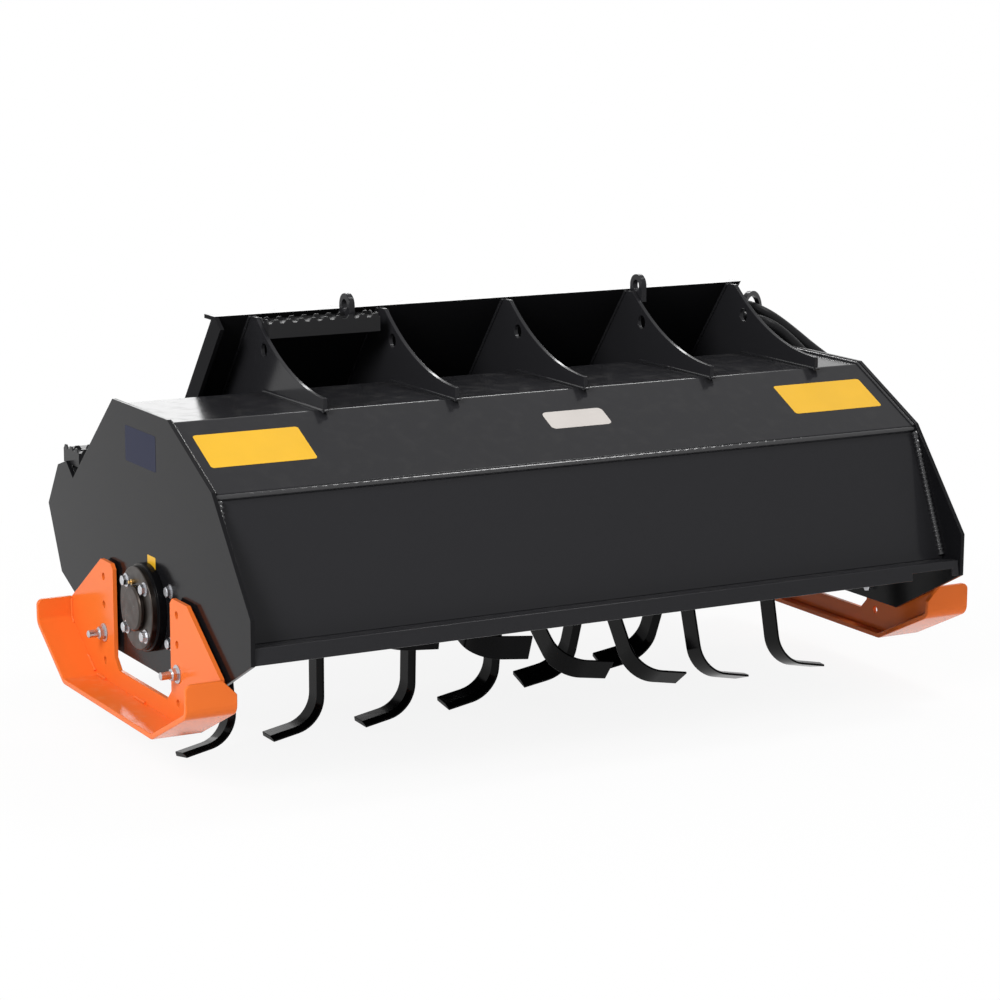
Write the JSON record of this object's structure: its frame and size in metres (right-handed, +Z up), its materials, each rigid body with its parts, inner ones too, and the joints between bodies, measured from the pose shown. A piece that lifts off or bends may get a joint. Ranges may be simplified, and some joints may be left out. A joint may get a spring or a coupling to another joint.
{
  "type": "rotary tiller attachment for a skid-steer loader",
  "caption": "Rotary tiller attachment: folded steel hood with curved-tine rotor below, adjustable side skids and a sloping loader coupler plate braced by gussets.",
  "frame": {"origin": "centre of the coupler plate's rear face, the face that seats on the loader", "axes": "+X across the machine to its right-hand end, +Y to the rear towards the loader, +Z up with the hood's deck level"},
  "size_m": [1.774, 1.0598, 0.8076],
  "materials": {
    "charcoal_paint": "gloss charcoal paint",
    "orange_paint": "gloss orange paint",
    "black_paint": "gloss black paint",
    "step_paint": "satin charcoal paint on pressed tread",
    "zinc": "bright zinc plate",
    "hub_steel": "machined and oiled",
    "hose_rubber": "satin rubber"
  },
  "bodies": {
    "housing": {"side_plate_left": "charcoal_paint", "side_plate_right": "charcoal_paint", "hood_top": "charcoal_paint", "rear_upper_panel": "charcoal_paint", "rear_beam": "charcoal_paint", "rear_lower_panel": "charcoal_paint", "front_panel": "charcoal_paint", "front_edge_angle": "charcoal_paint", "coupler_plate": "charcoal_paint", "gusset_1": "charcoal_paint", "gusset_2": "charcoal_paint", "gusset_3": "charcoal_paint", "gusset_4": "charcoal_paint", "gusset_5": "charcoal_paint", "lifting_eye_left": "charcoal_paint", "lifting_eye_right": "charcoal_paint", "hose_guide": "charcoal_paint", "chain_case": "charcoal_paint", "chain_cover": "charcoal_paint", "hydraulic_motor": "charcoal_paint", "skid_plate_left": "orange_paint", "skid_plate_right": "orange_paint", "skid_runner_left": "orange_paint", "skid_runner_right": "orange_paint", "skid_bolts_left": "zinc", "skid_bolts_right": "zinc", "bearing_bolts": "zinc", "hose_fittings": "zinc", "hose_front_coupling": "zinc", "hose_rear_coupling": "zinc", "upper_step": "step_paint", "lower_step": "step_paint", "bearing_housing": "hub_steel", "bearing_cap": "hub_steel", "hose_front": "hose_rubber", "hose_rear": "hose_rubber"},
    "rotor": {"rotor_shaft": "black_paint", "tines_left_hand": "black_paint", "tines_right_hand": "black_paint"}
  },
  "joints": [
    {"name": "rotor_spin", "type": "hinge", "parent": "housing", "child": "rotor", "pos_m": [-0.0665, -0.36695, -0.30351], "axis": [1, 0, 0], "continuous": true}
  ]
}
